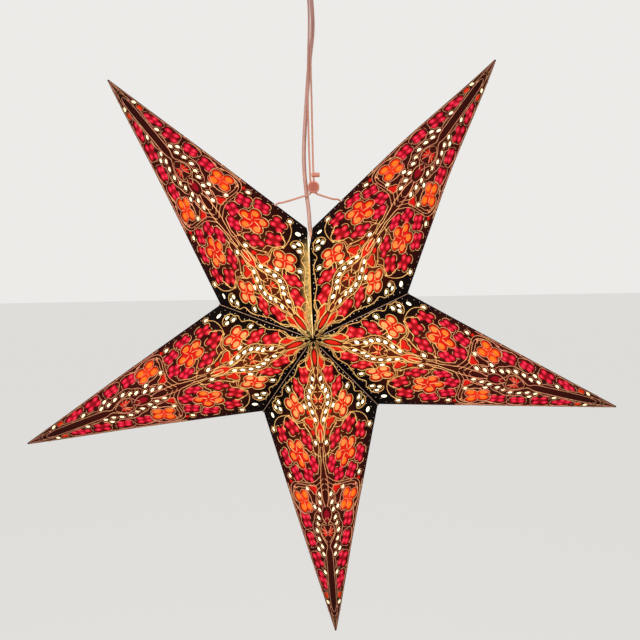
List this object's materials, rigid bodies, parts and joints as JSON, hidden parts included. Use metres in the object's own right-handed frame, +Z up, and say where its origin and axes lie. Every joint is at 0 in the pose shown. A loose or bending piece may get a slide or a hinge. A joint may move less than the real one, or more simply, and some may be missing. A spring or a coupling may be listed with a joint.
{
  "type": "paper star lantern",
  "caption": "Folded, cut and lined card star that hangs on a tied cord from a ceiling rose and is lit by a lamp on its cable.",
  "frame": {"origin": "middle of the ceiling rose's top face, where it meets the ceiling", "axes": "+Z up, through the ceiling; the star faces -Y and +Y alike; +X to the right of a viewer in front of it"},
  "size_m": [0.5648, 0.1668, 0.6817],
  "materials": {
    "card": "black card, matt, with raised gold lines",
    "lining": "red tissue, lit from inside",
    "cord": "twisted cord, dusty pink-brown",
    "bead": "satin, red-brown",
    "cable": "satin sleeve, pale",
    "holder": "moulded, white",
    "contact_block": "unglazed",
    "lamp": "frosted, lit",
    "cup": "satin white paint",
    "steel": "zinc plated",
    "outlet": "moulded, white",
    "terminal": "moulded, pale"
  },
  "bodies": {
    "root": {"upper_left_card": "card", "left_card": "card", "bottom_card": "card", "right_card": "card", "upper_right_card": "card", "upper_left_lining": "lining", "left_lining": "lining", "bottom_lining": "lining", "right_lining": "lining", "upper_right_lining": "lining", "hanging_cord": "cord", "left_knot": "cord", "right_knot": "cord", "cord_bead": "bead", "cord_barrel": "bead", "power_cable": "cable", "lampholder_cap": "holder", "lampholder_shell": "holder", "contact_block": "contact_block", "lamp": "lamp", "ceiling_cup": "cup", "mounting_strap": "steel", "upper_nut": "steel", "lower_nut": "steel", "ceiling_hook": "steel", "cable_outlet": "outlet", "terminal_block": "terminal"}
  },
  "joints": []
}
